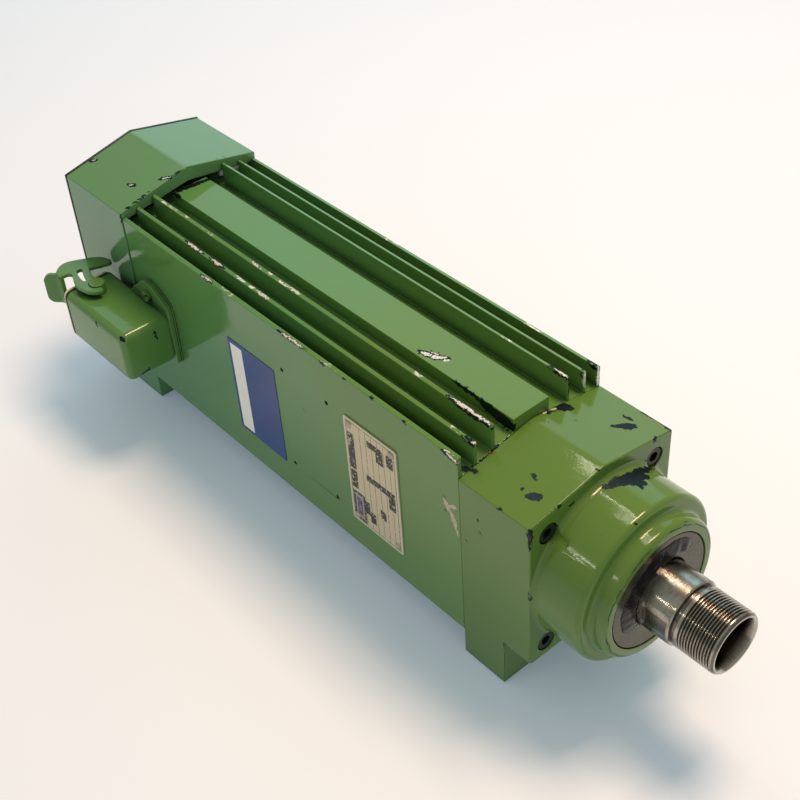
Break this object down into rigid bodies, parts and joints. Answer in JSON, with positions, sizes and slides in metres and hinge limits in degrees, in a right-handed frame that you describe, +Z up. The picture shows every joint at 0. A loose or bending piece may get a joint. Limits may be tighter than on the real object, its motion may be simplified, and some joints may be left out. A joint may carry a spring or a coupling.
{
  "type": "motor spindle",
  "caption": "Square finned motor spindle on four feet, with a threaded collet nose, fan hood and side connector.",
  "frame": {"origin": "centre of the four threaded foot holes, on the plane that the feet stand on", "axes": "+X along the shaft to the tool, +Z up from the feet to the finned top"},
  "size_m": [0.4616, 0.1331, 0.1445],
  "materials": {
    "green_paint": "glossy green enamel over cast metal, chipped at the edges",
    "black_paint": "black enamel on sheet steel",
    "bare_steel": "turned and ground steel",
    "dark_cover": "blackened steel, oily",
    "lamination": "stacked electrical sheet",
    "copper_winding": "varnished copper wire",
    "cast_aluminium": "cast",
    "bearing_steel": "polished",
    "spring_steel": "blued",
    "black_screw": "black oxide",
    "zinc_screw": "zinc plated",
    "black_rubber": "matt",
    "cream_plastic": "moulded",
    "contact_brass": "bright",
    "lead_jacket": "smooth",
    "plate_aluminium": "brushed sheet",
    "printed_label": "glossy foil",
    "fan_plastic": "moulded",
    "cage_resin": "moulded"
  },
  "bodies": {
    "stator_body": {"stator_housing": "green_paint", "front_end_shield": "green_paint", "rear_end_shield": "green_paint", "fan_hood": "green_paint", "rear_guard": "black_paint", "bearing_cover": "dark_cover", "stator_core": "lamination", "stator_winding": "copper_winding", "front_shield_screws": "black_screw", "rear_shield_screws": "black_screw", "guard_screws": "zinc_screw", "hood_screws": "black_screw", "front_bearing_a_outer_ring": "bearing_steel", "front_bearing_b_outer_ring": "bearing_steel", "rear_bearing_outer_ring": "bearing_steel", "disc_spring": "spring_steel", "connector_housing": "green_paint", "base_seal": "green_paint", "connector_screws": "green_paint", "mouth_seal": "black_rubber", "contact_insert": "cream_plastic", "contact_pins": "contact_brass", "earth_contact": "contact_brass", "insert_screws": "zinc_screw", "lever_pivots": "green_paint", "motor_leads": "lead_jacket", "rating_plate": "plate_aluminium", "plate_rivets": "plate_aluminium", "side_label": "printed_label"},
    "rotor": {"shaft": "bare_steel", "rotor_core": "lamination", "rotor_cage": "cast_aluminium", "shaft_circlip": "spring_steel", "fan": "fan_plastic", "fan_set_screw": "black_screw", "front_bearing_a_inner_ring": "bearing_steel", "front_bearing_b_inner_ring": "bearing_steel", "rear_bearing_inner_ring": "bearing_steel"},
    "front_cage_a": {"front_bearing_a_balls": "bearing_steel", "front_bearing_a_cage": "cage_resin"},
    "front_cage_b": {"front_bearing_b_balls": "bearing_steel", "front_bearing_b_cage": "cage_resin"},
    "rear_cage": {"rear_bearing_balls": "bearing_steel", "rear_bearing_cage": "cage_resin"},
    "lever": {"locking_lever": "green_paint"}
  },
  "joints": [
    {"name": "shaft_spin", "type": "hinge", "parent": "stator_body", "child": "rotor", "pos_m": [0, 0, 0.074], "axis": [1, 0, 0], "continuous": true},
    {"name": "front_cage_a_spin", "type": "hinge", "parent": "stator_body", "child": "front_cage_a", "pos_m": [0.2085, 0, 0.074], "axis": [1, 0, 0], "continuous": true},
    {"name": "front_cage_b_spin", "type": "hinge", "parent": "stator_body", "child": "front_cage_b", "pos_m": [0.1945, 0, 0.074], "axis": [1, 0, 0], "continuous": true},
    {"name": "rear_cage_spin", "type": "hinge", "parent": "stator_body", "child": "rear_cage", "pos_m": [-0.1605, 0, 0.074], "axis": [1, 0, 0], "continuous": true},
    {"name": "lever_swing", "type": "hinge", "parent": "stator_body", "child": "lever", "pos_m": [-0.1475, -0.06585, 0.07035], "axis": [0, 0, 1], "range_deg": [0, 75]}
  ],
  "couplings": [
    {"joint": "front_cage_a_spin", "follows": "shaft_spin", "ratio": 0.41753},
    {"joint": "front_cage_b_spin", "follows": "shaft_spin", "ratio": 0.41753},
    {"joint": "rear_cage_spin", "follows": "shaft_spin", "ratio": 0.3987}
  ]
}
